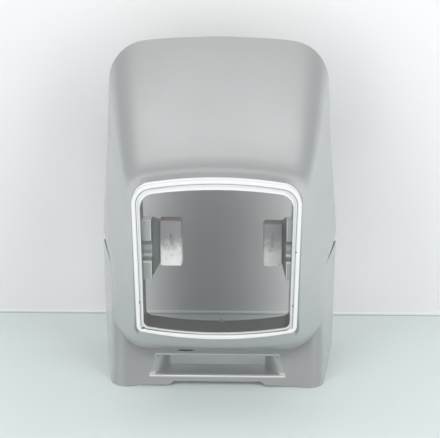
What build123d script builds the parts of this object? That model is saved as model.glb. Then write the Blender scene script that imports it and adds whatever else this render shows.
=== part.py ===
"""Headlight cowl: a moulded enduro lamp mask with a framed opening, and two push-on mount boots."""
import os
from math import exp, log, sqrt
from build123d import *

# Frame: X to the right as seen from the front, -Y to the front, Z up, feet on Z = 0. Millimetres.
WALL = 3.0

# Lamp opening, and the frame around it.
OPENING_WIDTH = 144.0
OPENING_NARROWING = 1.5
OPENING_BASE = 68.0
OPENING_HEIGHT = 144.0
OPENING_TOP_RISE = 6.0
OPENING_BOTTOM_DIP = 6.5
OPENING_TOP_RADIUS = 14.0
OPENING_BOTTOM_RADIUS = 6.0
FLANGE_SIDE = 2.4
FLANGE_TOP = 5.0
FLANGE_BOTTOM = 1.9
FLANGE_STEP = 1.2
BEAD_RADIUS = 2.5
BEAD_STAND = 1.2
BEAD_SETBACK = 0.4
BEAD_DROP = 0.8
RIM_MARGIN = 0.2
CROWN_BAND = 3.0
SLEEVE_DEPTH = 31.0
SLEEVE_WALL = 2.5
LIP_ROUND = 0.8
SIDE_LIFT = 0.3
GATE_OFFSET = 4.0
GATE_RADIUS = 3.0
GATE_LENGTH = 3.0
GATE_SINK = 1.8

# Hood and side walls, as they run back from the frame.
HOOD_HEIGHT = 340.5
HOOD_DEPTH = 98.0
FLARE_START = 22.0
FLARE_SOFTNESS = 4.5
SIDE_FLARE = 0.5
SIDE_BOW = 0.0012
WAIST_INSET = 0.5
UPPER_FLARE = 0.33
UPPER_BOW = 0.0004
FRAME_RADIUS = 19.0
HOOD_RADIUS_GAIN = 0.27
FRAME_CROWN = 8.0
HOOD_CROWN_GAIN = 0.1
WAIST_RISE = 44.0
WAIST_LENGTH = 38.0
WAIST_OFFSET = 16.0
CHIN_DROP = 32.0
CHIN_LENGTH = 15.0
CHIN_DIP = 3.0
CHIN_FRONT_DIP = 5.0
CHIN_DIP_LENGTH = 12.0
CHIN_RADIUS = 6.0
CHIN_RADIUS_GAIN = 20.0
CHIN_RADIUS_LENGTH = 14.0
CHEEK_SWELL = 9.0
CHEEK_LENGTH = 20.0
CHEEK_INSET = 0.8
TUCK = 22.0
TUCK_START = 50.0
TUCK_LENGTH = 60.0
HOOD_EDGE = 40.0
WING_DEPTH = 146.0
WING_Z = 122.0
JAW_REAR_DEPTH = 128.0
EDGE_LEAN = 2.0
CHEEK_SETBACK = 13.0
STEP_FRONT_Z = 104.0
STEP_REAR_Z = 98.0
CHEEK_ROUND = 2.0

# Jaw under the chin, with its scoop and through slot.
JAW_OVERHANG = 20.0
JAW_LEAN = 0.45
JAW_HALF = 106.0
JAW_TOP_HALF = 106.0
JAW_REAR_HALF = 122.5
JAW_HEIGHT = 108.0
JAW_RADIUS = 16.0
SCOOP_HALF = 70.0
SCOOP_DEPTH = 25.0
SCOOP_EDGE_Z = 10.5
SCOOP_RISE = 2.0
SCOOP_LIP_Z = 28.8
SCOOP_ROUND = 2.0
SLOT_HALF = 48.5
SLOT_TOP_Z = 24.5
ARCH_HALF = 43.5
ARCH_HEIGHT = 5.5
ARCH_SLANT = 5.0
FOOT_WIDTH = 14.0
FOOT_SLANT = 14.0
FOOT_RELIEF = 2.0

# Brackets inside the sleeve, and the boots on their lugs.
PAD_REACH_LEFT = 9.0
PAD_REACH_RIGHT = 5.4
PAD_INSET = 16.0
PAD_DEPTH = 15.0
PAD_BASE = 117.0
PAD_HEIGHT = 60.0
PAD_ROUND = 1.2
PAD_BITE = 1.5
SADDLE_RADIUS = 10.5
SADDLE_DEPTH = 8.5
SADDLE_RISE = 29.4
WEB_REACH_LEFT = 17.2
WEB_REACH_RIGHT = 9.4
WEB_THICKNESS = 4.0
WEB_FOOT = 15.0
WEB_SHOULDER = 3.0
LUG_REACH = 14.0
LUG_HEIGHT = 32.0
LUG_BITE = 2.0
BOOT_HEIGHT_LEFT = 46.0
BOOT_HEIGHT_RIGHT = 43.5
BOOT_RISE = 12.0
BOOT_THICKNESS = 12.0
BOOT_WIDTH_LEFT = 21.0
BOOT_WIDTH_RIGHT = 18.0
BOOT_CLEARANCE = 0.25
BOOT_RADIUS = 3.0
MARK_DEPTH = 1.2
STEM_WIDTH = 2.2
STEM_HEIGHT = 13.0
STEM_RISE = 3.0
BAR_WIDTH = 6.5
BAR_HEIGHT = 3.0
BAR_DROP = 5.0

# How far the cutting forms run past what they cut.
OVERRUN = 40.0
SECTIONS = 20

# Depths are measured back from the front face, which sits so that the whole part is centred on Y = 0.
FRONT_Y = BEAD_RADIUS - BEAD_SETBACK - WING_DEPTH / 2
WING_Y = WING_DEPTH / 2
HOOD_TOP_Y = FRONT_Y + HOOD_DEPTH
REAR_Y = FRONT_Y + JAW_REAR_DEPTH
JAW_FRONT_Y = FRONT_Y + JAW_OVERHANG
PAD_FRONT_Y = FRONT_Y + PAD_INSET
RIM_HALF = OPENING_WIDTH / 2 + FLANGE_SIDE + 2 * BEAD_RADIUS + RIM_MARGIN
RIM_TOP = OPENING_BASE + OPENING_HEIGHT + FLANGE_TOP + 2 * BEAD_RADIUS + CROWN_BAND
RIM_BASE = OPENING_BASE - FLANGE_BOTTOM - BEAD_RADIUS + BEAD_DROP
HOOD_SLOPE = (HOOD_HEIGHT - RIM_TOP) / (HOOD_TOP_Y - FRONT_Y - FLARE_START)


def waist_half(d):
    return RIM_HALF - OPENING_NARROWING - WAIST_INSET + SIDE_FLARE * d - SIDE_BOW * d * d


def upper_half(d):
    return RIM_HALF + UPPER_FLARE * d - UPPER_BOW * d * d


def waist_z(d):
    return RIM_BASE + WAIST_OFFSET + WAIST_RISE * (1 - exp(-d / WAIST_LENGTH))


def top_z(d):
    return RIM_TOP + HOOD_SLOPE * FLARE_SOFTNESS * log(1 + exp((d - FLARE_START) / FLARE_SOFTNESS))


def base_z(d):
    return RIM_BASE - CHIN_DROP * (1 - exp(-d / CHIN_LENGTH))


def lower_half(d):
    t = min(1.0, max(0.0, (d - TUCK_START) / TUCK_LENGTH))
    swell = CHEEK_SWELL * (1 - exp(-d / CHEEK_LENGTH)) - CHEEK_INSET
    return waist_half(d) + swell - TUCK * t * t * (3 - 2 * t)


def chin_dip(d):
    return CHIN_DIP + CHIN_FRONT_DIP * exp(-d / CHIN_DIP_LENGTH)


def chin_radius(d):
    return CHIN_RADIUS + CHIN_RADIUS_GAIN * (1 - exp(-d / CHIN_RADIUS_LENGTH))


def stretch(curve, d):
    """How much longer a wall is across its section plane than square to itself."""
    slope = (curve(d + 0.01) - curve(d - 0.01)) / 0.02
    return sqrt(1 + slope * slope)


def section_plane(y):
    """A sketch plane square to Y, with its own axes along X and Z."""
    return Plane.XZ.offset(-y)


def corner_arc(start, end, bow_centre, bow_radius, radius, high):
    """The rounding between a straight run and a bowed edge: its start, middle and end points."""
    u = (end - start).normalized()
    inward = Vector(-u.Y, u.X)
    foot = start + inward * radius - bow_centre
    half_b = foot.dot(u)
    root = sqrt(half_b * half_b - foot.dot(foot) + (bow_radius - radius) ** 2)
    along = -half_b + (root if high else -root)
    centre = start + inward * radius + u * along
    on_run = start + u * along
    outward = (centre - bow_centre).normalized()
    on_bow = bow_centre + outward * bow_radius
    middle = centre + (outward - inward).normalized() * radius
    return on_run, middle, on_bow


def outline(low, waist, high, base, dip, waist_level, top, crown, base_radius, top_radius):
    """A closed wire: bowed base, two straight runs a side that meet at the waist, and a crowned top."""
    a = Vector(low, base + dip)
    b = Vector(waist, waist_level)
    c = Vector(high, top - crown)
    base_bow = (low * low + dip * dip) / (2 * dip)
    top_bow = (high * high + crown * crown) / (2 * crown)
    low_run, low_mid, low_end = corner_arc(a, b, Vector(0, base + base_bow), base_bow, base_radius, False)
    top_run, top_mid, top_end = corner_arc(b, c, Vector(0, top - top_bow), top_bow, top_radius, True)

    def other(point):
        return Vector(-point.X, point.Y)

    return Wire(
        [
            Edge.make_three_point_arc(other(low_end), Vector(0, base), low_end),
            Edge.make_three_point_arc(low_end, low_mid, low_run),
            Edge.make_line(low_run, b),
            Edge.make_line(b, top_run),
            Edge.make_three_point_arc(top_run, top_mid, top_end),
            Edge.make_three_point_arc(top_end, Vector(0, top), other(top_end)),
            Edge.make_three_point_arc(other(top_end), other(top_mid), other(top_run)),
            Edge.make_line(other(top_run), other(b)),
            Edge.make_line(other(b), other(low_run)),
            Edge.make_three_point_arc(other(low_run), other(low_mid), other(low_end)),
        ]
    )


def body_section(d, inset):
    sides = inset * stretch(waist_half, d)
    wire = outline(
        lower_half(d) - sides,
        waist_half(d) - sides,
        upper_half(d) - sides,
        base_z(d) + inset * stretch(base_z, d),
        chin_dip(d),
        waist_z(d),
        top_z(d) - inset * stretch(top_z, d),
        FRAME_CROWN + HOOD_CROWN_GAIN * d,
        chin_radius(d) - inset,
        FRAME_RADIUS + HOOD_RADIUS_GAIN * d - inset,
    )
    return section_plane(FRONT_Y + d) * wire


def on_slant(edge, base_y):
    """True for an edge in the plane that leans back like the jaw's front, from the given Y at the floor."""
    for share in (0, 0.5, 1):
        point = edge @ share
        if abs(point.Y - base_y - JAW_LEAN * point.Z) > 0.01:
            return False
    return True


def cheek_and_wing(inset):
    """The side profile that ends the cheek in a step over the jaw, and the wing in a ledge."""
    far = FRONT_Y - OVERRUN
    rear = WING_Y + OVERRUN
    cheek = JAW_FRONT_Y + CHEEK_SETBACK - inset
    fall = (STEP_REAR_Z - STEP_FRONT_Z) / (REAR_Y - JAW_FRONT_Y - CHEEK_SETBACK - JAW_LEAN * STEP_FRONT_Z)
    front_step = STEP_FRONT_Z + inset
    corner = cheek + JAW_LEAN * front_step
    profile = Polyline(
        (far, -OVERRUN),
        (cheek - JAW_LEAN * OVERRUN, -OVERRUN),
        (corner, front_step),
        (rear, front_step + fall * (rear - corner)),
        (rear, 2 * HOOD_HEIGHT),
        (far, 2 * HOOD_HEIGHT),
        close=True,
    )
    return extrude(Plane.YZ * make_face(profile), 2 * WING_DEPTH, both=True)


def body_form(inset):
    """The mask's outer form, or the hollow inside it when inset."""
    length = WING_Y - FRONT_Y + 0.4 * OVERRUN - inset
    places = [inset + length * i / SECTIONS for i in range(SECTIONS + 1)]
    form = Solid.make_loft([body_section(d, inset) for d in places])
    form = form & cheek_and_wing(inset)
    if inset:
        return form
    step = [edge for edge in form.edges() if on_slant(edge, JAW_FRONT_Y + CHEEK_SETBACK)]
    return fillet(step, CHEEK_ROUND)


def jaw_section(z, inset):
    """The jaw at one height: its sides run from the leaning front out to the rear edge."""
    face_y = JAW_FRONT_Y + JAW_LEAN * z
    corner = JAW_HALF + (JAW_TOP_HALF - JAW_HALF) * z / JAW_HEIGHT
    spread = (JAW_REAR_HALF - corner) / (REAR_Y - face_y)
    front = face_y + inset * sqrt(1 + JAW_LEAN * JAW_LEAN)
    rear = REAR_Y + OVERRUN
    near = corner + spread * (front - face_y) - inset
    far = corner + spread * (rear - face_y) - inset
    face = make_face(Polyline((-near, front), (near, front), (far, rear), (-far, rear), close=True))
    corners = face.vertices().sort_by(Axis.Y)[:2]
    return Plane.XY.offset(z) * fillet(corners, JAW_RADIUS - inset)


def jaw_form(inset):
    """The block under the chin, leaning back at its front; its hollow is open below and into the mask."""
    low = -OVERRUN / 2 if inset else 0
    high = JAW_HEIGHT + OVERRUN / 5 if inset else JAW_HEIGHT
    return loft([jaw_section(low, inset), jaw_section(high, inset)], ruled=True)


def scoop_form(grow):
    """The pocket in the jaw's front: waisted in plan, its floor rising and its roof falling to the slot."""
    front = JAW_FRONT_Y - OVERRUN / 4
    back = JAW_FRONT_Y + SCOOP_DEPTH + grow
    mouth = SCOOP_HALF + grow
    throat = SLOT_HALF + grow
    plan = make_face(
        [
            Line((-mouth, front), (mouth, front)),
            Line((mouth, front), (mouth, JAW_FRONT_Y)),
            Spline((mouth, JAW_FRONT_Y), (throat, back), tangents=[(-0.35, 1), (-0.9, 0.6)]),
            Line((throat, back), (-throat, back)),
            Spline((-throat, back), (-mouth, JAW_FRONT_Y), tangents=[(-0.9, -0.6), (-0.35, -1)]),
            Line((-mouth, JAW_FRONT_Y), (-mouth, front)),
        ]
    )
    floor_slope = SCOOP_RISE / SCOOP_DEPTH
    roof_slope = (SCOOP_LIP_Z - SLOT_TOP_Z) / (SCOOP_DEPTH - JAW_LEAN * SCOOP_LIP_Z)
    run = back - front
    side = make_face(
        Polyline(
            (front, SCOOP_EDGE_Z + SCOOP_RISE - floor_slope * run - grow),
            (back, SCOOP_EDGE_Z + SCOOP_RISE - grow),
            (back, SLOT_TOP_Z + grow),
            (front, SLOT_TOP_Z + roof_slope * run + grow),
            close=True,
        )
    )
    across = extrude(Plane.YZ * side, 2 * WING_DEPTH, both=True)
    return extrude(plan, JAW_HEIGHT) & across


def opening_outline(side, top, base):
    """The lamp opening's wire, grown by the given amounts at its sides, top and base."""
    high = OPENING_WIDTH / 2 + side
    low = high - OPENING_NARROWING
    bottom = OPENING_BASE - base
    peak = OPENING_BASE + OPENING_HEIGHT + top
    return outline(
        low,
        low + SIDE_LIFT,
        high,
        bottom,
        OPENING_BOTTOM_DIP,
        OPENING_BASE + 0.3 * OPENING_HEIGHT,
        peak,
        OPENING_TOP_RISE,
        OPENING_BOTTOM_RADIUS + 0.8 * base,
        OPENING_TOP_RADIUS + 0.8 * side,
    )


def prism(wire, front, back):
    """A wire drawn in X and Z, run along Y between two positions."""
    return extrude(section_plane(back) * Face(wire), back - front)


def keep_form():
    """What stays behind the rear cut: a tall hood edge, swept back to the wing tips, over an inset jaw."""
    far = FRONT_Y - OVERRUN
    high = HOOD_HEIGHT + OVERRUN
    edge = make_face(
        [
            Line((far, 0), (REAR_Y, 0)),
            Line((REAR_Y, 0), (REAR_Y + EDGE_LEAN, STEP_REAR_Z)),
            Line((REAR_Y + EDGE_LEAN, STEP_REAR_Z), (WING_Y, WING_Z)),
            Spline((WING_Y, WING_Z), (HOOD_TOP_Y, HOOD_HEIGHT - HOOD_EDGE), tangents=[(-0.33, 1), (0, 1)]),
            Line((HOOD_TOP_Y, HOOD_HEIGHT - HOOD_EDGE), (HOOD_TOP_Y, high)),
            Line((HOOD_TOP_Y, high), (far, high)),
            Line((far, high), (far, 0)),
        ]
    )
    return extrude(Plane.YZ * edge, 2 * WING_DEPTH, both=True)


def scooped_jaw():
    """The jaw with its pocket, rounded where the pocket breaks through the leaning front."""
    jaw = jaw_form(0) - scoop_form(0)
    front = [edge for edge in jaw.edges() if on_slant(edge, JAW_FRONT_Y)]
    mouth = [edge for edge in front if 0 < (edge @ 0.5).Z < JAW_HEIGHT / 2]
    return fillet(mouth, SCOOP_ROUND)


def shell_walls():
    outer = body_form(0) + scooped_jaw()
    inner = body_form(WALL) + (jaw_form(WALL) - scoop_form(WALL))
    return (outer - inner) & keep_form()


def front_frame():
    """The bead that stands proud around the frame's front edge, on a path with straight sides."""
    inner = BEAD_RADIUS - BEAD_STAND
    low = lower_half(0) - inner
    high = upper_half(0) - inner
    base = RIM_BASE - BEAD_DROP
    top = RIM_TOP - inner - CROWN_BAND
    dip = chin_dip(0)
    level = waist_z(0)
    share = (level - base - dip) / (top - FRAME_CROWN - base - dip)
    waist = low + (high - low) * share
    wire = outline(low, waist, high, base, dip, level, top, FRAME_CROWN, CHIN_RADIUS - inner,
                   FRAME_RADIUS - inner)
    path = section_plane(FRONT_Y + BEAD_SETBACK) * wire
    disc = Plane(origin=path @ 0, z_dir=path % 0) * Circle(BEAD_RADIUS)
    return sweep(disc, path=path)


def bracket(side):
    """A saddled pad on the sleeve's wall, with a gusseted web behind it and a lug for the boot."""
    wall = OPENING_WIDTH / 2 + PAD_BITE
    pad_face = OPENING_WIDTH / 2 - (PAD_REACH_RIGHT if side > 0 else PAD_REACH_LEFT)
    web_face = web_end(side)
    top = PAD_BASE + PAD_HEIGHT
    back = PAD_FRONT_Y + PAD_DEPTH
    pad = Pos((wall + pad_face) / 2, PAD_FRONT_Y + PAD_DEPTH / 2, PAD_BASE + PAD_HEIGHT / 2) * Box(
        wall - pad_face, PAD_DEPTH, PAD_HEIGHT
    )
    pad = fillet(pad.edges().filter_by(Axis.Z).group_by(Axis.X)[0], PAD_ROUND)
    groove_y = PAD_FRONT_Y - SADDLE_RADIUS + SADDLE_DEPTH
    groove = Pos((wall + pad_face) / 2, groove_y, PAD_BASE + SADDLE_RISE) * (
        Rot(0, 90, 0) * Cylinder(SADDLE_RADIUS, wall - pad_face + WALL)
    )
    web = make_face(
        Polyline((wall, PAD_BASE), (pad_face, PAD_BASE), (web_face, PAD_BASE + WEB_FOOT),
                 (web_face, top - WEB_SHOULDER), (pad_face, top), (wall, top), close=True)
    )
    web = extrude(section_plane(back) * web, WEB_THICKNESS)
    lug = Pos(web_face - (LUG_REACH - LUG_BITE) / 2, back - WEB_THICKNESS / 2, boot_z(side)) * Box(
        LUG_REACH + LUG_BITE, WEB_THICKNESS, LUG_HEIGHT
    )
    whole = (pad - groove) + web + lug
    return whole if side > 0 else mirror(whole, Plane.YZ)


def web_end(side):
    return OPENING_WIDTH / 2 - (WEB_REACH_RIGHT if side > 0 else WEB_REACH_LEFT)


def boot_height(side):
    return BOOT_HEIGHT_RIGHT if side > 0 else BOOT_HEIGHT_LEFT


def boot_z(side):
    return PAD_BASE + BOOT_RISE + boot_height(side) / 2


def boot(side, width):
    """A push-on boot: a soft block over the lug, shouldered against the web, with a plain slot in front."""
    web_face = web_end(side)
    height = boot_z(side)
    middle = PAD_FRONT_Y + PAD_DEPTH - WEB_THICKNESS / 2
    block = Pos(web_face - width / 2, middle, height) * Box(width, BOOT_THICKNESS, boot_height(side))
    block = fillet(block.edges().group_by(Axis.X)[0], BOOT_RADIUS)
    gap = 2 * BOOT_CLEARANCE
    pocket = Pos(web_face - (LUG_REACH + BOOT_CLEARANCE) / 2, middle, height) * Box(
        LUG_REACH + BOOT_CLEARANCE, WEB_THICKNESS + gap, LUG_HEIGHT + gap
    )
    face = middle - BOOT_THICKNESS / 2
    stem = Pos(web_face - width / 2, face, height + STEM_RISE) * Box(STEM_WIDTH, 2 * MARK_DEPTH, STEM_HEIGHT)
    bar = Pos(web_face - width / 2, face, height - BAR_DROP) * Box(BAR_WIDTH, 2 * MARK_DEPTH, BAR_HEIGHT)
    whole = block - pocket - stem - bar
    return whole if side > 0 else mirror(whole, Plane.YZ)


def gate_mark():
    """The low stub that the mould's gate leaves at the rear of the sleeve's floor."""
    back = FRONT_Y + SLEEVE_DEPTH
    stub = Pos(GATE_OFFSET, back - GATE_LENGTH / 2, OPENING_BASE - GATE_SINK) * (
        Rot(90, 0, 0) * Cylinder(GATE_RADIUS, GATE_LENGTH)
    )
    low = OPENING_BASE - SLEEVE_WALL / 2
    above = Pos(GATE_OFFSET, back, low + OVERRUN / 2) * Box(OVERRUN, OVERRUN, OVERRUN)
    return stub & above


def foot_relief():
    """The cut along the bar's lower edge: an arch in the middle, and a little clearance out to the feet."""
    foot = JAW_HALF - FOOT_WIDTH
    arch = ARCH_HALF + ARCH_SLANT
    low = make_face(
        Polyline(
            (-foot, 0),
            (-foot, -FOOT_RELIEF),
            (foot, -FOOT_RELIEF),
            (foot, 0),
            (foot - FOOT_SLANT, FOOT_RELIEF),
            (arch, FOOT_RELIEF),
            (ARCH_HALF, ARCH_HEIGHT),
            (-ARCH_HALF, ARCH_HEIGHT),
            (-arch, FOOT_RELIEF),
            (FOOT_SLANT - foot, FOOT_RELIEF),
            close=True,
        )
    )
    return extrude(section_plane(JAW_FRONT_Y + 5 * WALL) * low, 10 * WALL)


def lip_edges(shell):
    """The edges where the flange turns in to the sleeve."""
    lip = section_plane(FRONT_Y + FLANGE_STEP) * opening_outline(0, 0, 0)
    places = (0, 0.5, 1)
    return [edge for edge in shell.edges() if all(lip.distance_to(edge @ share) < 0.01 for share in places)]


def cowl_shell():
    shell = shell_walls() + front_frame()
    sleeve = opening_outline(SLEEVE_WALL, SLEEVE_WALL, SLEEVE_WALL)
    shell += prism(sleeve, FRONT_Y + FLANGE_STEP, FRONT_Y + SLEEVE_DEPTH)
    shell -= prism(opening_outline(0, 0, 0), FRONT_Y - OVERRUN, FRONT_Y + OVERRUN)
    step = opening_outline(FLANGE_SIDE, FLANGE_TOP, FLANGE_BOTTOM)
    shell -= prism(step, FRONT_Y - OVERRUN, FRONT_Y + FLANGE_STEP)
    shell = fillet(lip_edges(shell), LIP_ROUND)
    for side in (-1, 1):
        shell += bracket(side)
    shell += gate_mark()
    slot_base = SCOOP_EDGE_Z + SCOOP_RISE
    shell -= Pos(0, JAW_FRONT_Y + SCOOP_DEPTH, (slot_base + SLOT_TOP_Z) / 2) * Box(
        2 * SLOT_HALF, 4 * WALL, SLOT_TOP_Z - slot_base
    )
    shell -= foot_relief()
    return shell


nodes = {
    "cowl_shell": cowl_shell(),
    "left_mount_boot": boot(-1, BOOT_WIDTH_LEFT),
    "right_mount_boot": boot(1, BOOT_WIDTH_RIGHT),
}
os.makedirs("parts", exist_ok=True)
for name, shape in nodes.items():
    export_step(shape, f"parts/{name}.step")
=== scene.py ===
"""Reshaped shell, finishes, stage and camera for a motorcycle headlight cowl, on its CAD frame."""

import math

import bmesh
import bpy
from bpy.props import FloatProperty, FloatVectorProperty, PointerProperty
from bpy.types import Operator, Panel, PropertyGroup
from mathutils import Matrix, Vector


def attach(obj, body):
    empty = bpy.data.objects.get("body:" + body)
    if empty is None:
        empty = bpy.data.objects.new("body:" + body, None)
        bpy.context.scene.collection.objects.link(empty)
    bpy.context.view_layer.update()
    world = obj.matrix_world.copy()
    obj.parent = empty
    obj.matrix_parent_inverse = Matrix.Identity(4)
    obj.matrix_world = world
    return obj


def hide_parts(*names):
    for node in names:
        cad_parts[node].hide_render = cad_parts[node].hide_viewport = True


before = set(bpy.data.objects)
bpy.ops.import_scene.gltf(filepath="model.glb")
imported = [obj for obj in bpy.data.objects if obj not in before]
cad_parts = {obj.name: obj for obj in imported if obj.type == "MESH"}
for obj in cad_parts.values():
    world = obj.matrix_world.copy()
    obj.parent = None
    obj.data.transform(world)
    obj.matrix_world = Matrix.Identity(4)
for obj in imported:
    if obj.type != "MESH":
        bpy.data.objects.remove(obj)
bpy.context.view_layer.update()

bl_info = {
    "name": "Headlight Cowl",
    "version": (1, 0, 0),
    "blender": (4, 5, 0),
    "location": "View3D > Sidebar > Cowl",
    "description": "Paints a moulded headlight cowl and sets it on a pale shelf",
    "category": "Object",
}

# The jaw's leaning front and the pocket in it, in metres in the part's own frame.
# JAW_LEAN is depth for each metre of height; the two slopes are rise for each metre of depth.
JAW_FOOT_Y = -0.0509
JAW_LEAN = 0.45
JAW_TOP_Z = 0.108
JAW_FACING = Vector((0.0, -0.912, 0.41))
POCKET_BACK_Y = -0.0259
POCKET_FLOOR_Z = 0.0125
POCKET_ROOF_Z = 0.0245
FLOOR_SLOPE = 0.08
ROOF_SLOPE = -0.357
POCKET_FLATS = (
    JAW_FACING.normalized(),
    Vector((0.0, -FLOOR_SLOPE, 1.0)).normalized(),
    Vector((0.0, ROOF_SLOPE, -1.0)).normalized(),
)

# What picks out the faces and vertices that are reshaped, in metres; END_INWARDS and FLAT are cosines.
THROAT_MARGIN = 0.001
MOUTH_MARGIN = 0.003
POCKET_LOW_Z = 0.009
POCKET_HIGH_Z = 0.031
END_INWARDS = 0.1
LONG_EDGE = 0.02
FLAT = 0.9999
LEAST_DRAW = 0.00005
CORNER_REACH = 0.0003
CORNER_LEAST_Y = 0.062
CORNER_LEAST_HALF = 0.12
MERGE_REACH = 1e-6

# Where each finish starts and where it is whole, in metres in the part's own frame.
# The rim crest and flange limits bound a painted highlight on the rim.
RIM_CREST_Y = (-0.0718, -0.0722)
FLANGE_Y = (-0.0690, -0.0696)
# The valley limits bound painted shade beside the rim's bead.
VALLEY_Y = (-0.0655, -0.0675)
# The lip, bar and saddle limits bound painted highlights on edges.
LIP_BEHIND_FRONT = (-0.0453, -0.0457)
LIP_HALF = (0.0692, 0.0676)
BAR_BEHIND_FRONT = (-0.0434, -0.0442)
BAR_LOW_Z = (0.0088, 0.0096)
BAR_HIGH_Z = (0.0140, 0.0125)
SADDLE_LOW_Z = (0.1340, 0.1346)
SADDLE_HIGH_Z = (0.1368, 0.1360)
INSIDE_Z = (0.05, 0.06)
# The first boot heights below set painted light, lighter towards the boots' bottom.
BOOT_LIGHT_Z = (0.170, 0.130)
BOOT_STAIN_Z = (0.1738, 0.1750)
RIGHT_X = (-0.01, 0.01)

# The same for the way a face is turned; the last three, a place times a normal, are in metres.
# The flange facing also bounds the painted rim highlight.
FLANGE_FACING_Y = (-0.90, -0.98)
# The lip turn and the pad edge facing bound painted edge highlights.
LIP_TURNED = (0.98, 0.9)
PAD_EDGE_FACING_Y = (-0.985, -0.90)
REARWARD_Y = (0.5, 0.8)
# The valley's outward limits also bound that painted shade.
VALLEY_OUTWARD = (0.020, 0.035)
INWARD = (-0.005, -0.02)
FLANK_INWARD = (-0.076, -0.086)

# The same for the value of a noise, or of a noise with a height or a distance added.
SPECK_EDGE = (0.0, 0.06)
CHIP_EDGE = (1.35, 1.05)
MIST_CLOUD = (0.35, 0.75)
ROUGH_CLOUD = (0.3, 0.7)
# The boots' cloud limits below mix wear with painted light.
BOOT_WEAR_AND_LIGHT_CLOUD = (0.58, 1.42)

# The lowest and the highest place of a finish with sharp limits, in metres.
# The upper lip, bracket and pad limits bound painted edge highlights.
UPPER_LIP_Z = (0.0272, 0.0330)
BRACKET_Z = (0.110, 0.185)
PAD_HALF = (0.050, 0.0775)
PAD_Y = (-0.057, -0.0528)
# The limits of the brackets' webs bound painted shade there.
WEB_X = (-0.0632, 0.0668)
WEB_Y = (-0.0465, -0.0405)

# How much of a finish there is at most, from 0 to 1.
# The upper lip's share is the strength of a painted highlight.
UPPER_LIP_SHARE = 0.45
# The share on the webs is the strength of that painted shade.
WEB_SHADE_SHARE = 0.75
FLAKE_SHARE = 0.35
MIST_SHARE = 0.12
# The first boot share below is mostly painted light.
BOOT_LIGHT_SHARE = 0.9
BOOT_STAIN_SHARE = 0.5
RIGHT_BOOT_SHARE = 0.4

# Other values of the finishes; RIM_RAISE, COWL_MIDDLE and RIGHT_BOOT_SHORTER are in metres.
# RIM_RAISE sets the painted rim highlight lower down on the bead's upper side.
RIM_RAISE = -0.001
COWL_MIDDLE = (0.0, 0.06, 0.10)
RIGHT_BOOT_SHORTER = 0.0025
SPECK_LEVEL = 0.78
PAINT_SMOOTHER = 0.03
PAINT_ROUGHER = 0.04
RIM_METALLIC = 0.15
COAT_ROUGHNESS = 0.1
BOOT_ROUGHNESS = (0.42, 0.6)
SHELF_ROUGHNESS = (0.16, 0.22)
STRIP_ROUGHNESS = 0.25
WALL_ROUGHNESS = 0.9

# Centre and reach of each chip in the paint, in metres.
CHIPS = (
    ((-0.0317, -0.0361, 0.0336), (0.0125, 0.0040, 0.0009)),
    ((0.0753, -0.0722, 0.1520), (0.0010, 0.0020, 0.0013)),
    ((-0.0740, -0.0719, 0.1002), (0.0008, 0.0020, 0.0018)),
    ((0.0735, -0.0709, 0.0970), (0.0008, 0.0020, 0.0016)),
    ((-0.0714, -0.0716, 0.0730), (0.0040, 0.0020, 0.0010)),
)

# The stage, in metres; the sensor's width is in millimetres.
SHELF_HALF = 3.0
WALL_HALF_HEIGHT = 1.5
SENSOR_WIDTH = 36.0
CLIP_END = 50.0
QUARTER_TURN = math.radians(90.0)

# Name, front and back in front of the wall, height, colour and glow of each strip on the shelf.
SHELF_STRIPS = (
    # A painted highlight: a pale line that glows though it is no lamp.
    ("shelf_edge", 0.0030, 0.0002, 0.0022, (0.88, 0.9, 0.9), 0.08),
    ("shelf_shade", 0.0060, 0.0032, 0.0003, (0.5, 0.57, 0.56), 0.0),
)

# Name, width, height, place and target of each lamp, and whether it is seen in reflections.
LAMPS = (
    ("key", 1.9, 0.32, (0.0, -0.8, 1.02), (0.0, -0.02, 0.2), True),
    ("left_lamp", 0.7, 0.7, (-0.60, -0.95, 0.5), (0.0, 0.0, 0.17), False),
    ("right_lamp", 0.7, 0.7, (0.75, -0.83, 0.5), (0.0, 0.0, 0.17), False),
    ("low_fill", 1.2, 0.2, (0.0, -1.0, 0.13), (0.0, 0.0, 0.08), True),
)

# The dark end of the room: its direction, how near to it the light fades, and the share left there.
DARK_END = (0.0, -0.94, 0.34)
DARK_END_EDGE = (0.78, 0.97)
DARK_END_SHARE = 0.3

# Distance between nodes in a row of the node editor.
NODE_STEP = 200


class HoodShape(PropertyGroup):
    """Crown of the hood's top edge."""

    corner_lift: FloatProperty(
        name="Corner Lift", description="How much higher the hood's top corners stand than the solid's",
        subtype="DISTANCE", unit="LENGTH", min=0.0, max=0.01, default=0.0055,
    )
    flat_half: FloatProperty(
        name="Flat Half", description="Half width of the crown's middle, which keeps its height",
        subtype="DISTANCE", unit="LENGTH", min=0.0, max=0.05, default=0.015,
    )
    corner_half: FloatProperty(
        name="Corner Half", description="Half width at which the corners have their whole lift",
        subtype="DISTANCE", unit="LENGTH", min=0.06, max=0.13, default=0.105,
    )
    lift_low: FloatProperty(
        name="Lift Start", description="Height at which the lift starts, above the flare",
        subtype="DISTANCE", unit="LENGTH", min=0.1, max=0.25, default=0.23,
    )
    lift_high: FloatProperty(
        name="Lift End", description="Height from which the lift is whole",
        subtype="DISTANCE", unit="LENGTH", min=0.26, max=0.34, default=0.305,
    )


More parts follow.
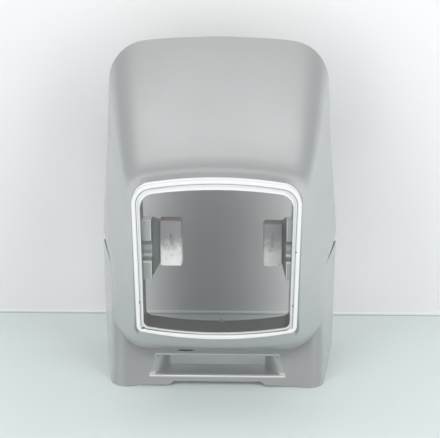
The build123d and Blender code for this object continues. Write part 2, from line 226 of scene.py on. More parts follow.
class JawShape(PropertyGroup):
    """Soft ends of the pocket in the jaw's front, and the jaw's rear corners."""

    throat_half: FloatProperty(
        name="Throat Half", description="Half width of the slot at the back of the pocket",
        subtype="DISTANCE", unit="LENGTH", min=0.03, max=0.06, default=0.0485,
    )
    low_half: FloatProperty(
        name="Low Mouth Half", description="Half width of the pocket's mouth along the bar",
        subtype="DISTANCE", unit="LENGTH", min=0.05, max=0.08, default=0.0690,
    )
    high_half: FloatProperty(
        name="High Mouth Half", description="Half width of the pocket's mouth along the lip above",
        subtype="DISTANCE", unit="LENGTH", min=0.05, max=0.08, default=0.0645,
    )
    sweep: FloatProperty(
        name="Sweep", description="How slowly the ends leave the jaw's front; 1 is a straight ramp",
        min=1.0, max=3.0, default=1.7,
    )
    corner_rise: FloatProperty(
        name="Corner Rise", description="How much higher the jaw's rear corners reach, up to the wings",
        subtype="DISTANCE", unit="LENGTH", min=0.0, max=0.0076, default=0.0074,
    )
    corner_back: FloatProperty(
        name="Corner Back", description="How much further back the jaw's rear corners reach",
        subtype="DISTANCE", unit="LENGTH", min=0.0, max=0.0045, default=0.0041,
    )


class CowlPaint(PropertyGroup):
    """Silver paint on the moulded shell."""

    silver: FloatVectorProperty(
        name="Silver", description="Colour of the paint in plain light", subtype="COLOR", size=3,
        min=0.0, max=1.0, default=(0.57, 0.585, 0.585),
    )
    flake_dark: FloatVectorProperty(
        name="Flake Shade", description="Colour of the flakes that tilt away from the light",
        subtype="COLOR", size=3, min=0.0, max=1.0, default=(0.46, 0.475, 0.475),
    )
    bare_plastic: FloatVectorProperty(
        name="Bare Plastic", description="Dark plastic under a chip in the paint",
        subtype="COLOR", size=3, min=0.0, max=1.0, default=(0.045, 0.045, 0.042),
    )
    # This colour is also painted shade on the brackets' webs.
    inner_plastic_and_web_shade: FloatVectorProperty(
        name="Inner Plastic", description="Dusty bare plastic on the inside", subtype="COLOR", size=3,
        min=0.0, max=1.0, default=(0.105, 0.104, 0.102),
    )
    # This colour is a painted highlight, which stands in for the rim's bright reflections.
    rim: FloatVectorProperty(
        name="Rim Highlight", description="Colour of the rim, rubbed bright", subtype="COLOR", size=3,
        min=0.0, max=1.0, default=(0.85, 0.85, 0.855),
    )
    # This colour is painted shade in the valley beside the rim's bead.
    valley: FloatVectorProperty(
        name="Valley", description="Dull silver in the valley beside the rim", subtype="COLOR", size=3,
        min=0.0, max=1.0, default=(0.30, 0.31, 0.315),
    )
    metallic: FloatProperty(
        name="Metallic", description="Share of the paint that reflects as metal", subtype="FACTOR",
        min=0.0, max=1.0, default=0.75,
    )
    roughness: FloatProperty(
        name="Roughness", description="Spread of the flakes' reflection", subtype="FACTOR",
        min=0.0, max=1.0, default=0.42,
    )
    coat: FloatProperty(
        name="Clear Coat", description="Weight of the clear lacquer over the flakes", subtype="FACTOR",
        min=0.0, max=1.0, default=0.8,
    )
    peel_height: FloatProperty(
        name="Orange Peel", description="Height of the lacquer's ripple",
        subtype="DISTANCE", unit="LENGTH", min=0.0, max=0.001, default=0.00002,
    )


class BootFinish(PropertyGroup):
    """Worn finish of the push-on boots, with painted light towards their bottom."""

    # This colour is whitened paint from wear, and also painted light towards the boots' bottom.
    worn_paint_and_light: FloatVectorProperty(
        name="Worn Paint and Light", description="Whitened paint left on the boots", subtype="COLOR", size=3,
        min=0.0, max=1.0, default=(0.72, 0.715, 0.71),
    )
    rubber: FloatVectorProperty(
        name="Rubber", description="Grey rubbery plastic under the paint", subtype="COLOR", size=3,
        min=0.0, max=1.0, default=(0.25, 0.25, 0.255),
    )
    stain: FloatVectorProperty(
        name="Stain", description="Brown stain in the hollows", subtype="COLOR", size=3,
        min=0.0, max=1.0, default=(0.20, 0.15, 0.10),
    )


class CowlStage(PropertyGroup):
    """Shelf, wall, lamps and camera."""

    shelf_colour: FloatVectorProperty(
        name="Shelf", description="Pale green-white of the shelf", subtype="COLOR", size=3,
        min=0.0, max=1.0, default=(0.75, 0.82, 0.82),
    )
    wall_colour: FloatVectorProperty(
        name="Wall", description="White of the wall behind", subtype="COLOR", size=3,
        min=0.0, max=1.0, default=(0.89, 0.893, 0.897),
    )
    wall_y: FloatProperty(
        name="Wall Distance", description="How far behind the cowl's middle the wall stands",
        subtype="DISTANCE", unit="LENGTH", min=0.08, max=5.0, default=0.144,
    )
    ambient: FloatProperty(
        name="Ambient", description="Strength of the even light from all round",
        min=0.0, max=5.0, default=0.49,
    )
    key: FloatProperty(
        name="Key Lamp", description="Power of the wide soft lamp high in front", unit="POWER",
        min=0.0, max=200.0, default=3.85,
    )
    left_lamp: FloatProperty(
        name="Left Lamp", description="Power of the large soft lamp on the left", unit="POWER",
        min=0.0, max=200.0, default=4.4,
    )
    right_lamp: FloatProperty(
        name="Right Lamp", description="Power of the large soft lamp on the right", unit="POWER",
        min=0.0, max=200.0, default=4.6,
    )
    low_fill: FloatProperty(
        name="Low Fill", description="Power of the low lamp that lifts the chin and the feet",
        unit="POWER", min=0.0, max=200.0, default=0.35,
    )
    eye: FloatVectorProperty(
        name="Camera Place", description="Where the camera stands",
        subtype="XYZ", unit="LENGTH", size=3, default=(0.02499, -1.10542, 0.52066),
    )
    pitch: FloatProperty(
        name="Camera Pitch", description="How far the camera looks down",
        subtype="ANGLE", unit="ROTATION", default=math.radians(18.0),
    )
    yaw: FloatProperty(
        name="Camera Yaw", description="How far the camera stands round to the right", subtype="ANGLE",
        unit="ROTATION", default=math.radians(1.2),
    )
    lens: FloatProperty(
        name="Lens", description="Focal length on a 36 mm wide sensor", subtype="DISTANCE_CAMERA",
        unit="CAMERA", min=10.0, max=300.0, default=94.74,
    )


def feed(tree, socket, value):
    """Links a socket to another one, or gives it a plain value."""
    if isinstance(value, bpy.types.NodeSocket):
        tree.links.new(value, socket)
    else:
        socket.default_value = value


def beside(at, right, up):
    """A place in the node editor, off from another one."""
    return at[0] + right, at[1] + up


def add_node(tree, kind, at, label="", **values):
    """Places a node and feeds its inputs by name."""
    made = tree.nodes.new(kind)
    made.location = at
    made.label = label
    for name, value in values.items():
        feed(tree, made.inputs[name], value)
    return made


def blend_colours(tree, at, label, mask, under, over):
    """Mixes two colours by a mask; each colour is a socket or a plain value."""
    made = add_node(tree, "ShaderNodeMix", at, label)
    made.data_type = "RGBA"
    tree.links.new(mask, made.inputs[0])
    for value, socket in ((under, made.inputs[6]), (over, made.inputs[7])):
        feed(tree, socket, value if isinstance(value, bpy.types.NodeSocket) else (*value, 1.0))
    return made.outputs[2]


def layer_colours(tree, at, colour, layers):
    """Lays colours over a first one; each layer has a label, a mask and its own colour."""
    for column, (label, mask, over) in enumerate(layers):
        colour = blend_colours(tree, beside(at, NODE_STEP * column, 0), label, mask, colour, over)
    return colour


def do_math(tree, at, operation, first, second=0.0, label=""):
    """One arithmetic node; each operand is a socket or a number."""
    made = add_node(tree, "ShaderNodeMath", at, label)
    made.operation = operation
    feed(tree, made.inputs[0], first)
    feed(tree, made.inputs[1], second)
    return made.outputs[0]


def combine(tree, at, operation, masks, label=""):
    """Joins masks in turn: MULTIPLY keeps where all of them are, MAXIMUM where any of them is."""
    joined = masks[0]
    for column, mask in enumerate(masks[1:]):
        joined = do_math(tree, beside(at, NODE_STEP * column, 0), operation, joined, mask, label)
    return joined


def do_vectors(tree, at, operation, operands, label=""):
    """One vector node; each operand is a socket or a plain vector."""
    made = add_node(tree, "ShaderNodeVectorMath", at, label)
    made.operation = operation
    for socket, operand in zip(made.inputs, operands):
        feed(tree, socket, operand)
    return made.outputs["Value" if operation in ("DOT_PRODUCT", "LENGTH") else "Vector"]


def split_axes(tree, at, vector, label):
    """The X, Y and Z of a vector, as sockets."""
    return add_node(tree, "ShaderNodeSeparateXYZ", at, label, Vector=vector).outputs


def map_range(tree, at, value, low, high, start=0.0, end=1.0):
    """Stretches a value smoothly from low..high to start..end."""
    made = add_node(tree, "ShaderNodeMapRange", at)
    made.interpolation_type = "SMOOTHSTEP"
    tree.links.new(value, made.inputs["Value"])
    made.inputs["From Min"].default_value = low
    made.inputs["From Max"].default_value = high
    made.inputs["To Min"].default_value = start
    made.inputs["To Max"].default_value = end
    return made.outputs["Result"]


def between(tree, at, value, low, high):
    """One where a value lies between two limits."""
    made = add_node(tree, "ShaderNodeMath", at)
    made.operation = "COMPARE"
    tree.links.new(value, made.inputs[0])
    made.inputs[1].default_value = (low + high) / 2
    made.inputs[2].default_value = (high - low) / 2
    return made.outputs[0]


def new_group(name, inputs, outputs):
    """An empty shader group with its sockets; returns the tree and its two end nodes."""
    tree = bpy.data.node_groups.new(name, "ShaderNodeTree")
    for label, kind, default in inputs:
        made = tree.interface.new_socket(label, in_out="INPUT", socket_type=kind)
        if default is not None:
            made.default_value = default
    for label in outputs:
        tree.interface.new_socket(label, in_out="OUTPUT", socket_type="NodeSocketFloat")
    start = add_node(tree, "NodeGroupInput", (-600, 0))
    end = add_node(tree, "NodeGroupOutput", (600, 0))
    return tree, start.outputs, end.inputs


def paint_grain():
    """Fine flakes and the slow ripple of sprayed lacquer."""
    if "paint grain" in bpy.data.node_groups:
        return bpy.data.node_groups["paint grain"]
    tree, start, end = new_group(
        "paint grain",
        [("Vector", "NodeSocketVector", None), ("Flakes", "NodeSocketFloat", 2600.0),
         ("Ripple", "NodeSocketFloat", 240.0)],
        ["Flake", "Height"],
    )
    flakes = add_node(
        tree, "ShaderNodeTexVoronoi", (-300, 200), "flakes",
        Vector=start["Vector"], Scale=start["Flakes"],
    )
    split = add_node(tree, "ShaderNodeSeparateColor", (-100, 200), Color=flakes.outputs["Color"])
    tree.links.new(split.outputs[0], end["Flake"])
    ripple = add_node(
        tree, "ShaderNodeTexNoise", (-300, -150), "ripple",
        Vector=start["Vector"], Scale=start["Ripple"], Detail=2.0,
    )
    tree.links.new(ripple.outputs["Fac"], end["Height"])
    return tree


def scuff_specks():
    """Scattered specks; Amount sets how much of the surface they take."""
    if "scuff specks" in bpy.data.node_groups:
        return bpy.data.node_groups["scuff specks"]
    tree, start, end = new_group(
        "scuff specks",
        [("Vector", "NodeSocketVector", None), ("Scale", "NodeSocketFloat", 120.0),
         ("Amount", "NodeSocketFloat", 0.2)],
        ["Mask"],
    )
    noise = add_node(
        tree, "ShaderNodeTexNoise", (-350, 100), "specks",
        Vector=start["Vector"], Scale=start["Scale"], Detail=5.0, Roughness=0.65,
    )
    reach = do_math(tree, (-150, -100), "SUBTRACT", SPECK_LEVEL, start["Amount"])
    above = do_math(tree, (50, 50), "SUBTRACT", noise.outputs["Fac"], reach)
    tree.links.new(map_range(tree, (250, 50), above, *SPECK_EDGE), end["Mask"])
    return tree


def chip_mark():
    """A ragged patch of set size around a point."""
    if "chip mark" in bpy.data.node_groups:
        return bpy.data.node_groups["chip mark"]
    tree, start, end = new_group(
        "chip mark",
        [("Vector", "NodeSocketVector", None), ("Centre", "NodeSocketVector", None),
         ("Reach", "NodeSocketVector", None)],
        ["Mask"],
    )
    offset = do_vectors(tree, (-400, 100), "SUBTRACT", (start["Vector"], start["Centre"]))
    scaled = do_vectors(tree, (-200, 100), "DIVIDE", (offset, start["Reach"]))
    away = do_vectors(tree, (0, 100), "LENGTH", (scaled,))
    ragged = add_node(
        tree, "ShaderNodeTexNoise", (-200, -150), "ragged edge",
        Vector=start["Vector"], Scale=700.0, Detail=3.0,
    )
    reach = do_math(tree, (200, 0), "ADD", away, ragged.outputs["Fac"])
    tree.links.new(map_range(tree, (400, 0), reach, *CHIP_EDGE), end["Mask"])
    return tree


def place_group(tree, group, at, **values):
    """Puts a group in a material and feeds its inputs by name; returns its outputs."""
    made = add_node(tree, "ShaderNodeGroup", at, group.name)
    made.node_tree = group
    for name, value in values.items():
        feed(tree, made.inputs[name], value)
    return made.outputs


def start_material(name):
    """A fresh node material; returns it with its tree, its shader and the object coordinates."""
    made = bpy.data.materials.new(name)
    made.use_nodes = True
    tree = made.node_tree
    shader = tree.nodes["Principled BSDF"]
    coords = add_node(tree, "ShaderNodeTexCoord", (-1500, 0))
    return made, tree, shader, coords.outputs["Object"]


def rim_highlight_mask(tree, at, place, normal):
    """A painted highlight: one on the crest of the rim's bead, lower down on its upper side, and on the
    flange inside it.
    """
    axes = split_axes(tree, at, place, "rim place")
    turn = split_axes(tree, beside(at, 0, -200), normal, "rim turn")
    raised = do_math(tree, beside(at, 150, 300), "MULTIPLY", turn["Z"], RIM_RAISE)
    raised = do_math(tree, beside(at, 300, 300), "ADD", raised, axes["Y"])
    crest = map_range(tree, beside(at, 450, 100), raised, *RIM_CREST_Y)
    near = map_range(tree, beside(at, 250, -150), axes["Y"], *FLANGE_Y)
    flat = map_range(tree, beside(at, 250, -400), turn["Y"], *FLANGE_FACING_Y)
    flange = do_math(tree, beside(at, 500, -250), "MULTIPLY", near, flat)
    return do_math(tree, beside(at, 700, 0), "MAXIMUM", crest, flange, "rim")


def valley_shade_mask(tree, at, place, normal):
    """Painted shade: one in the narrow valley beside the rim's bead, on its left and its right."""
    axes = split_axes(tree, at, place, "valley place")
    turn = split_axes(tree, beside(at, 0, -200), normal, "valley turn")
    outward = do_math(tree, beside(at, 200, -200), "MULTIPLY", axes["X"], turn["X"])
    outward = map_range(tree, beside(at, 400, -200), outward, *VALLEY_OUTWARD)
    deep = map_range(tree, beside(at, 200, 0), axes["Y"], *VALLEY_Y)
    return do_math(tree, beside(at, 600, 0), "MULTIPLY", outward, deep, "valley")


def lip_highlight_mask(tree, at, place, normal):
    """A painted highlight, high on the bar's edge under the pocket in the jaw's leaning front, lower on
    the lip above.
    """
    axes = split_axes(tree, at, place, "lip place")
    depth = do_vectors(
        tree, beside(at, 0, -200), "DOT_PRODUCT", (place, -JAW_FACING), "behind the front"
    )
    lean = do_vectors(
        tree, beside(at, 0, -400), "DOT_PRODUCT", (normal, JAW_FACING), "turned with the front"
    )
    near = map_range(tree, beside(at, 250, -200), depth, *LIP_BEHIND_FRONT)
    turned = map_range(tree, beside(at, 250, -400), lean, *LIP_TURNED)
    side = do_math(tree, beside(at, 250, 200), "ABSOLUTE", axes["X"])
    across = map_range(tree, beside(at, 450, 200), side, *LIP_HALF)
    upper = between(tree, beside(at, 250, 0), axes["Z"], *UPPER_LIP_Z)
    upper = do_math(tree, beside(at, 450, 0), "MULTIPLY", upper, UPPER_LIP_SHARE)
    around = combine(tree, beside(at, 650, -300), "MULTIPLY", (near, turned, upper))
    deep = map_range(tree, beside(at, 250, -600), depth, *BAR_BEHIND_FRONT)
    above = map_range(tree, beside(at, 250, -800), axes["Z"], *BAR_LOW_Z)
    below = map_range(tree, beside(at, 250, -1000), axes["Z"], *BAR_HIGH_Z)
    bar = combine(tree, beside(at, 450, -800), "MULTIPLY", (above, below, deep))
    edge = do_math(tree, beside(at, 1050, -400), "MAXIMUM", around, bar)
    return do_math(tree, beside(at, 1250, 0), "MULTIPLY", across, edge, "lip")


def bracket_highlight_mask(tree, at, place, normal):
    """A painted highlight: one on the edges of the brackets' pads and along the lower edge of their
    saddles.
    """
    axes = split_axes(tree, at, place, "bracket place")
    turn = split_axes(tree, beside(at, 0, -200), normal, "bracket turn")
    side = do_math(tree, beside(at, 150, 500), "ABSOLUTE", axes["X"])
    wide = between(tree, beside(at, 300, 500), side, *PAD_HALF)
    tall = between(tree, beside(at, 300, 350), axes["Z"], *BRACKET_Z)
    front = between(tree, beside(at, 300, 200), axes["Y"], *PAD_Y)
    pads = combine(tree, beside(at, 450, 400), "MULTIPLY", (wide, tall, front))
    edge = map_range(tree, beside(at, 250, -200), turn["Y"], *PAD_EDGE_FACING_Y)
    under = map_range(tree, beside(at, 250, -400), axes["Z"], *SADDLE_LOW_Z)
    over = map_range(tree, beside(at, 250, -600), axes["Z"], *SADDLE_HIGH_Z)
    line = do_math(tree, beside(at, 450, -500), "MULTIPLY", under, over)
    rubbed = do_math(tree, beside(at, 650, -300), "MAXIMUM", edge, line)
    return do_math(tree, beside(at, 850, 0), "MULTIPLY", pads, rubbed, "bracket highlight")


def web_shade_mask(tree, at, axes):
    """Painted shade, most of the way to one on the webs behind the brackets' pads."""
    wide = between(tree, beside(at, 0, 150), axes["X"], *WEB_X)
    tall = between(tree, at, axes["Z"], *BRACKET_Z)
    deep = between(tree, beside(at, 0, -150), axes["Y"], *WEB_Y)
    return combine(tree, beside(at, 200, 0), "MULTIPLY", (wide, tall, deep, WEB_SHADE_SHARE), "web_shade")


def inside_mask(tree, at, place, normal):
    """One on bare faces, which look inwards or to the rear, and less on the brackets' webs, as painted
    shade there.
    """
    axes = split_axes(tree, beside(at, 200, 0), place, "inside place")
    turn = split_axes(tree, beside(at, 200, -250), normal, "turn")
    offset = do_vectors(
        tree, beside(at, 200, 250), "SUBTRACT", (place, COWL_MIDDLE), "from the middle"
    )
    facing = do_vectors(tree, beside(at, 400, 250), "DOT_PRODUCT", (offset, normal), "facing out")
    inward = map_range(tree, beside(at, 600, 250), facing, *INWARD)
    high = map_range(tree, beside(at, 400, 0), axes["Z"], *INSIDE_Z)
    inward = do_math(tree, beside(at, 800, 150), "MULTIPLY", inward, high)
    rearward = map_range(tree, beside(at, 400, -250), turn["Y"], *REARWARD_Y)
    sideways = do_math(tree, beside(at, 400, -500), "MULTIPLY", axes["X"], turn["X"])
    flank = map_range(tree, beside(at, 600, -500), sideways, *FLANK_INWARD)
    web_shade = web_shade_mask(tree, beside(at, 600, -850), axes)
    return combine(tree, beside(at, 1000, 50), "MAXIMUM", (inward, rearward, web_shade, flank), "inside")


def silver_paint(paint):
    """Silver flake under semi-gloss lacquer, with painted highlights on the rim and on edges, painted
    shade beside the rim and on the brackets' webs, chips and bare plastic inside.
    """
    made, tree, shader, place = start_material("silver_paint_finish")
    normal = tree.nodes["Texture Coordinate"].outputs["Normal"]
    grain = place_group(tree, paint_grain(), (-1200, 300), Vector=place)
    cloud = add_node(
        tree, "ShaderNodeTexNoise", (-1200, -50), "cloud", Vector=place, Scale=14.0, Detail=3.0
    ).outputs["Fac"]
    flake = do_math(tree, (-950, 300), "MULTIPLY", grain["Flake"], FLAKE_SHARE)
    mist = map_range(tree, (-950, -50), cloud, *MIST_CLOUD, 0.0, MIST_SHARE)
    valley = valley_shade_mask(tree, (-2700, 700), place, normal)
    rim = rim_highlight_mask(tree, (-1200, 700), place, normal)
    lip = lip_highlight_mask(tree, (-1200, 1700), place, normal)
    bracket = bracket_highlight_mask(tree, (-2700, 1700), place, normal)
    # Painted highlights on the edges of the lip, the bar and the brackets.
    rubbed = do_math(tree, (-300, 500), "MAXIMUM", lip, bracket)
    chips = [
        place_group(
            tree, chip_mark(), (-1200, 2400 + 250 * row), Vector=place, Centre=centre, Reach=reach
        )["Mask"]
        for row, (centre, reach) in enumerate(CHIPS)
    ]
    chips = combine(tree, (-900, 2400), "MAXIMUM", chips)
    inside = inside_mask(tree, (-1200, 1100), place, normal)
    colour = layer_colours(tree, (-1400, -700), paint.silver, (
        ("flakes", flake, paint.flake_dark),
        ("mist", mist, paint.flake_dark),
        # Painted shade beside the rim's bead.
        ("valley", valley, paint.valley),
        # Painted highlight on the rim.
        ("painted rim highlight", rim, paint.rim),
        # Painted highlights on edges, in the rim colour.
        ("painted edge highlights", rubbed, paint.rim),
        ("chips", chips, paint.bare_plastic),
        # Bare plastic inside, and painted shade on the brackets' webs.
        ("bare inside and painted web shade", inside, paint.inner_plastic_and_web_shade),
    ))
    tree.links.new(colour, shader.inputs["Base Color"])
    rough = map_range(
        tree, (-700, -250), cloud, *ROUGH_CLOUD,
        paint.roughness - PAINT_SMOOTHER, paint.roughness + PAINT_ROUGHER,
    )
    tree.links.new(rough, shader.inputs["Roughness"])
    bump = add_node(
        tree, "ShaderNodeBump", (-450, -450), "lacquer ripple",
        Strength=0.5, Distance=paint.peel_height, Height=grain["Height"],
    )
    tree.links.new(bump.outputs["Normal"], shader.inputs["Normal"])
    painted = do_math(tree, (-450, 1100), "SUBTRACT", 1.0, inside, "painted")
    shine = map_range(tree, (-450, 0), rim, 0.0, 1.0, paint.metallic, RIM_METALLIC)
    shine = do_math(tree, (-250, 0), "MULTIPLY", shine, painted)
    tree.links.new(shine, shader.inputs["Metallic"])
    shader.inputs["Coat Weight"].default_value = paint.coat
    shader.inputs["Coat Roughness"].default_value = COAT_ROUGHNESS
    return made


def worn_boot(finish):
    """Grey rubbery plastic with wear-whitened paint, painted lighter towards the bottom as painted
    light, and a brown stain along the top.
    """
    made, tree, shader, place = start_material("worn_boot_finish")
    axes = split_axes(tree, (-1200, 0), place, "place")
    cloud = add_node(
        tree, "ShaderNodeTexNoise", (-1200, 300), "cloud",
        Vector=place, Scale=150.0, Detail=6.0, Roughness=0.7,
    )
    # Painted light: lighter towards the bottom, below the shade of the hood.
    low = map_range(tree, (-1000, 0), axes["Z"], *BOOT_LIGHT_Z, 0.0, BOOT_LIGHT_SHARE)
    worn_and_lit = do_math(tree, (-800, 200), "ADD", low, cloud.outputs["Fac"])
    worn_and_lit = map_range(tree, (-600, 200), worn_and_lit, *BOOT_WEAR_AND_LIGHT_CLOUD)
    right = map_range(tree, (-1000, -250), axes["X"], *RIGHT_X)
    darker = do_math(tree, (-800, -250), "MULTIPLY", right, RIGHT_BOOT_SHARE)
    specks = place_group(
        tree, scuff_specks(), (-1200, -500), Vector=place, Scale=420.0, Amount=0.15
    )
    shorter = do_math(tree, (-1200, -750), "MULTIPLY", right, RIGHT_BOOT_SHORTER)
    level = do_math(tree, (-1100, -750), "ADD", axes["Z"], shorter)
    top = map_range(tree, (-1000, -750), level, *BOOT_STAIN_Z, 0.0, BOOT_STAIN_SHARE)
    dirt = do_math(tree, (-800, -600), "MAXIMUM", specks["Mask"], top)
    colour = layer_colours(tree, (-500, 500), finish.rubber, (
        # Paint whitened by wear, and painted light towards the bottom.
        ("rubbed", worn_and_lit, finish.worn_paint_and_light),
        ("darker right", darker, finish.rubber),
        ("stain", dirt, finish.stain),
    ))
    tree.links.new(colour, shader.inputs["Base Color"])
    rough = map_range(tree, (-400, -100), worn_and_lit, 0.0, 1.0, *BOOT_ROUGHNESS)
    tree.links.new(rough, shader.inputs["Roughness"])
    bump = add_node(
        tree, "ShaderNodeBump", (-300, -300), "worn edge",
        Strength=0.4, Distance=0.0002, Height=worn_and_lit,
    )
    tree.links.new(bump.outputs["Normal"], shader.inputs["Normal"])
    return made


def clamp_share(value):
    """Keeps a value between 0 and 1."""
    return min(1.0, max(0.0, value))


def smooth_step(value, low, high):
    """Rises smoothly from 0 at low to 1 at high."""
    share = clamp_share((value - low) / (high - low))
    return share * share * (3.0 - 2.0 * share)


def ramp_y(jaw, x, z):
    """Depth of the pocket's soft end at a place across the jaw and a height."""
    front = JAW_FOOT_Y + JAW_LEAN * z
    high = clamp_share((z - POCKET_FLOOR_Z) / (POCKET_ROOF_Z - POCKET_FLOOR_Z))
    mouth = jaw.low_half + (jaw.high_half - jaw.low_half) * high
    share = clamp_share((mouth - abs(x)) / (mouth - jaw.throat_half))
    return front + (POCKET_BACK_Y - front) * share ** jaw.sweep


def pocket_ends(bm, jaw):
    """The faces of the pocket's two end walls and of the rounded edges in front of them."""
    found = set()
    for face in bm.faces:
        middle = face.calc_center_median()
        inwards = -math.copysign(1.0, middle.x) * face.normal.x
        across = jaw.throat_half - THROAT_MARGIN < abs(middle.x) < jaw.low_half + MOUTH_MARGIN
        within = POCKET_LOW_Z < middle.z < POCKET_HIGH_Z and middle.y < POCKET_BACK_Y
        if across and within and inwards > END_INWARDS and face.normal.y < 0.0:
            found.add(face)
    return found


def on_long_edge(vert):
    """Whether a vertex belongs to a long rounded edge of the pocket, along the bar or the lip above."""
    for face in vert.link_faces:
        places = [corner.co.x for corner in face.verts]
        straight = max(abs(face.normal.dot(way)) for way in POCKET_FLATS)
        if max(places) - min(places) > LONG_EDGE and straight < FLAT:
            return True
    return False


def soften_pocket(bm, jaw, shade):
    """Draws the pocket's end walls forward to slow ramps, along its floor and roof.

    The ramps' smooth normals go in the shade layer.
    """
    ends = pocket_ends(bm, jaw)
    drawn = set()
    for vert in {vert for face in ends for vert in face.verts}:
        place = vert.co.copy()
        floor = POCKET_FLOOR_Z + FLOOR_SLOPE * (place.y - POCKET_BACK_Y)
        roof = POCKET_ROOF_Z + ROOF_SLOPE * (place.y - POCKET_BACK_Y)
        high = clamp_share((place.z - floor) / (roof - floor))
        forward = ramp_y(jaw, place.x, place.z) - place.y
        if forward < -LEAST_DRAW and not on_long_edge(vert):
            vert.co.y += forward
            vert.co.z += forward * (FLOOR_SLOPE * (1.0 - high) + ROOF_SLOPE * high)
            drawn.add(vert)
    bm.normal_update()
    for vert in drawn:
        around = Vector()
        for face in vert.link_faces:
            if face in ends:
                around += face.normal * face.calc_area()
        for loop in vert.link_loops:
            if loop.face in ends:
                loop[shade] = around.normalized()


def raise_corners(bm, jaw):
    """Draws the jaw's upper rear corners up and back to the wings' lower edges."""
    for vert in bm.verts:
        at_top = abs(vert.co.z - JAW_TOP_Z) < CORNER_REACH
        if at_top and vert.co.y > CORNER_LEAST_Y and abs(vert.co.x) > CORNER_LEAST_HALF:
            vert.co.y += jaw.corner_back
            vert.co.z += jaw.corner_rise


def lift_crown(bm, hood):
    """Lifts the hood's top corners, which flattens its crown."""
    for vert in bm.verts:
        outwards = smooth_step(abs(vert.co.x), hood.flat_half, hood.corner_half)
        upwards = smooth_step(vert.co.z, hood.lift_low, hood.lift_high)
        vert.co.z += hood.corner_lift * outwards * upwards


def reshaped_shell(hood, jaw):
    """The moulded shell with a flatter crown, a softer pocket in its jaw and higher corners to it."""
    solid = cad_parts["cowl_shell"].data
    mesh = solid.copy()
    mesh.name = "painted_shell"
    mesh.materials.clear()
    shade = mesh.attributes.new("shade", "FLOAT_VECTOR", "CORNER")
    for corner, normal in zip(shade.data, solid.corner_normals):
        corner.vector = normal.vector
    bm = bmesh.new()
    bm.from_mesh(mesh)
    bmesh.ops.remove_doubles(bm, verts=bm.verts, dist=MERGE_REACH)
    bm.normal_update()
    soften_pocket(bm, jaw, bm.loops.layers.float_vector["shade"])
    raise_corners(bm, jaw)
    lift_crown(bm, hood)
    bm.to_mesh(mesh)
    bm.free()
    mesh.normals_split_custom_set([corner.vector for corner in mesh.attributes["shade"].data])
    mesh.attributes.remove(mesh.attributes["shade"])
    shell = bpy.data.objects.new("painted_shell", mesh)
    bpy.context.scene.collection.objects.link(shell)
    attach(shell, "root")
    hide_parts("cowl_shell")
    return shell


def dress(node, material):
    """Gives a CAD node one material in place of its packed one."""
    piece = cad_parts[node]
    piece.data.materials.clear()
    piece.data.materials.append(material)


class COWL_OT_paint_shell(Operator):
    """Reshapes the moulded shell's hood and jaw and paints the shell silver"""

    bl_idname = "cowl.paint_shell"
    bl_label = "Paint Shell"

    def execute(self, context):
        shell = reshaped_shell(context.scene.cowl_hood, context.scene.cowl_jaw)
        shell.data.materials.append(silver_paint(context.scene.cowl_paint))
        return {"FINISHED"}


class COWL_OT_finish_boots(Operator):
    """Gives the push-on boots their finish of wear and painted light"""

    bl_idname = "cowl.finish_boots"
    bl_label = "Finish Boots"

    def execute(self, context):
        material = worn_boot(context.scene.cowl_boot)
        for node in ("left_mount_boot", "right_mount_boot"):
            dress(node, material)
        return {"FINISHED"}


def stage_piece(name, bm, material):
    """Makes a piece of the stage from its mesh and gives it a material."""
    mesh = bpy.data.meshes.new(name)
    bm.to_mesh(mesh)
    bm.free()
    mesh.materials.append(material)
    made = bpy.data.objects.new(name, mesh)
    bpy.context.scene.collection.objects.link(made)


def flat_sheet(name, half_width, half_depth, placing, material):
    """A flat rectangle of the stage, with its place in its mesh."""
    bm = bmesh.new()
    bmesh.ops.create_grid(bm, x_segments=1, y_segments=1, size=1.0)
    bmesh.ops.scale(bm, vec=(half_width, half_depth, 1.0), verts=bm.verts)
    bmesh.ops.transform(bm, matrix=placing, verts=bm.verts)
    stage_piece(name, bm, material)


def shelf_strip(name, front, back, height, colour, glow):
    """A narrow strip along the shelf's rear edge; glow is painted light that makes the strip shine as a
    highlight.
    """
    bm = bmesh.new()
    bmesh.ops.create_cube(bm, size=1.0)
    bmesh.ops.scale(bm, vec=(2.0 * SHELF_HALF, back - front, height), verts=bm.verts)
    bmesh.ops.translate(bm, vec=(0.0, (front + back) / 2, height / 2), verts=bm.verts)
    made, _, shader, _ = start_material(name)
    shader.inputs["Base Color"].default_value = (*colour, 1.0)
    shader.inputs["Roughness"].default_value = STRIP_ROUGHNESS
    shader.inputs["Emission Color"].default_value = (*colour, 1.0)
    shader.inputs["Emission Strength"].default_value = glow
    stage_piece(name, bm, made)


def shelf_glass(stage):
    """Pale shelf with a soft reflection."""
    made, tree, shader, place = start_material("shelf_glass")
    haze = add_node(
        tree, "ShaderNodeTexNoise", (-900, 0), "haze", Vector=place, Scale=3.0, Detail=2.0
    )
    rough = map_range(tree, (-600, 0), haze.outputs["Fac"], *ROUGH_CLOUD, *SHELF_ROUGHNESS)
    tree.links.new(rough, shader.inputs["Roughness"])
    shader.inputs["Base Color"].default_value = (*stage.shelf_colour, 1.0)
    return made


def wall_white(stage):
    """White wall whose back lets the camera through, so that views from behind stay open."""
    made, tree, shader, _ = start_material("wall_white")
    shader.inputs["Base Color"].default_value = (*stage.wall_colour, 1.0)
    shader.inputs["Roughness"].default_value = WALL_ROUGHNESS
    side = add_node(tree, "ShaderNodeNewGeometry", (0, 600), "side")
    clear = add_node(tree, "ShaderNodeBsdfTransparent", (0, -500), "clear")
    mix = add_node(tree, "ShaderNodeMixShader", (300, 0), "open from behind")
    tree.links.new(side.outputs["Backfacing"], mix.inputs[0])
    tree.links.new(shader.outputs[0], mix.inputs[1])
    tree.links.new(clear.outputs[0], mix.inputs[2])
    tree.links.new(mix.outputs[0], tree.nodes["Material Output"].inputs["Surface"])
    return made


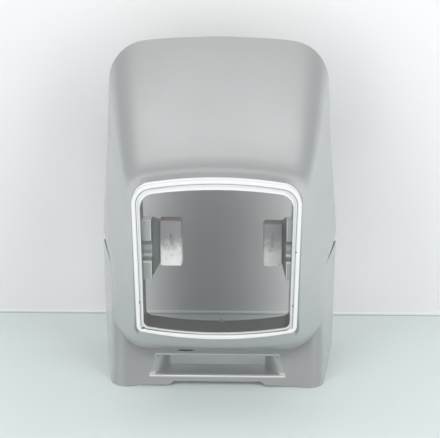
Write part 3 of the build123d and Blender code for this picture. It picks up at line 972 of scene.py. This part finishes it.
def studio_world(stage):
    """Even white light from all round, weaker from the dark end of the room in front."""
    world = bpy.data.worlds.new("studio")
    world.use_nodes = True
    tree = world.node_tree
    sky = tree.nodes["Background"]
    sky.inputs["Color"].default_value = (1.0, 1.0, 1.0, 1.0)
    coords = add_node(tree, "ShaderNodeTexCoord", (-900, 0))
    ahead = do_vectors(
        tree, (-700, 0), "DOT_PRODUCT", (coords.outputs["Generated"], DARK_END), "towards the front"
    )
    level = map_range(
        tree, (-450, 0), ahead, *DARK_END_EDGE, stage.ambient, DARK_END_SHARE * stage.ambient
    )
    tree.links.new(level, sky.inputs["Strength"])
    return world


def soft_lamp(name, power, width, height, at, target):
    """A rectangular area lamp that faces a point."""
    data = bpy.data.lights.new(name, "AREA")
    data.shape = "RECTANGLE"
    data.energy = power
    data.size = width
    data.size_y = height
    lamp = bpy.data.objects.new(name, data)
    lamp.location = at
    lamp.rotation_euler = (Vector(target) - Vector(at)).to_track_quat("-Z", "Y").to_euler()
    bpy.context.scene.collection.objects.link(lamp)
    return lamp


def stage_camera(stage):
    """The camera at its place, turned down and to the side."""
    data = bpy.data.cameras.new("camera")
    data.lens = stage.lens
    data.sensor_width = SENSOR_WIDTH
    data.clip_end = CLIP_END
    camera = bpy.data.objects.new("camera", data)
    camera.location = stage.eye
    camera.rotation_euler = (QUARTER_TURN - stage.pitch, 0.0, stage.yaw)
    bpy.context.scene.collection.objects.link(camera)
    return camera


class COWL_OT_set_stage(Operator):
    """Sets the shelf, the wall, the lamps and the camera"""

    bl_idname = "cowl.set_stage"
    bl_label = "Set Stage"

    def execute(self, context):
        scene = context.scene
        stage = scene.cowl_stage
        flat_sheet("shelf", SHELF_HALF, SHELF_HALF, Matrix.Identity(4), shelf_glass(stage))
        for name, front, back, height, colour, glow in SHELF_STRIPS:
            shelf_strip(name, stage.wall_y - front, stage.wall_y - back, height, colour, glow)
        upright = Matrix.Rotation(QUARTER_TURN, 4, "X")
        upright = Matrix.Translation((0.0, stage.wall_y, WALL_HALF_HEIGHT)) @ upright
        flat_sheet("wall", SHELF_HALF, WALL_HALF_HEIGHT, upright, wall_white(stage))
        scene.world = studio_world(stage)
        for name, width, height, at, target, reflected in LAMPS:
            lamp = soft_lamp(name, getattr(stage, name), width, height, at, target)
            lamp.visible_glossy = reflected
        scene.camera = stage_camera(stage)
        scene.view_settings.view_transform = "Standard"
        return {"FINISHED"}


class COWL_PT_panel(Panel):
    """Lists the steps and their settings"""

    bl_idname = "COWL_PT_panel"
    bl_label = "Headlight Cowl"
    bl_space_type = "VIEW_3D"
    bl_region_type = "UI"
    bl_category = "Cowl"

    def draw(self, context):
        scene = context.scene
        for settings, step in (
            ((scene.cowl_hood, scene.cowl_jaw, scene.cowl_paint), COWL_OT_paint_shell),
            ((scene.cowl_boot,), COWL_OT_finish_boots),
            ((scene.cowl_stage,), COWL_OT_set_stage),
        ):
            box = self.layout.box()
            for group in settings:
                for name in group.__annotations__:
                    box.prop(group, name)
            box.operator(step.bl_idname)


CLASSES = (
    HoodShape,
    JawShape,
    CowlPaint,
    BootFinish,
    CowlStage,
    COWL_OT_paint_shell,
    COWL_OT_finish_boots,
    COWL_OT_set_stage,
    COWL_PT_panel,
)


def register():
    """Makes the settings, the steps and the panel known to Blender."""
    for made in CLASSES:
        bpy.utils.register_class(made)
    bpy.types.Scene.cowl_hood = PointerProperty(type=HoodShape)
    bpy.types.Scene.cowl_jaw = PointerProperty(type=JawShape)
    bpy.types.Scene.cowl_paint = PointerProperty(type=CowlPaint)
    bpy.types.Scene.cowl_boot = PointerProperty(type=BootFinish)
    bpy.types.Scene.cowl_stage = PointerProperty(type=CowlStage)


def unregister():
    """Takes the settings, the steps and the panel out again."""
    del bpy.types.Scene.cowl_stage
    del bpy.types.Scene.cowl_boot
    del bpy.types.Scene.cowl_paint
    del bpy.types.Scene.cowl_jaw
    del bpy.types.Scene.cowl_hood
    for made in reversed(CLASSES):
        bpy.utils.unregister_class(made)


def main():
    """Runs every step."""
    register()
    bpy.ops.cowl.paint_shell()
    bpy.ops.cowl.finish_boots()
    bpy.ops.cowl.set_stage()


if __name__ == "__main__":
    main()
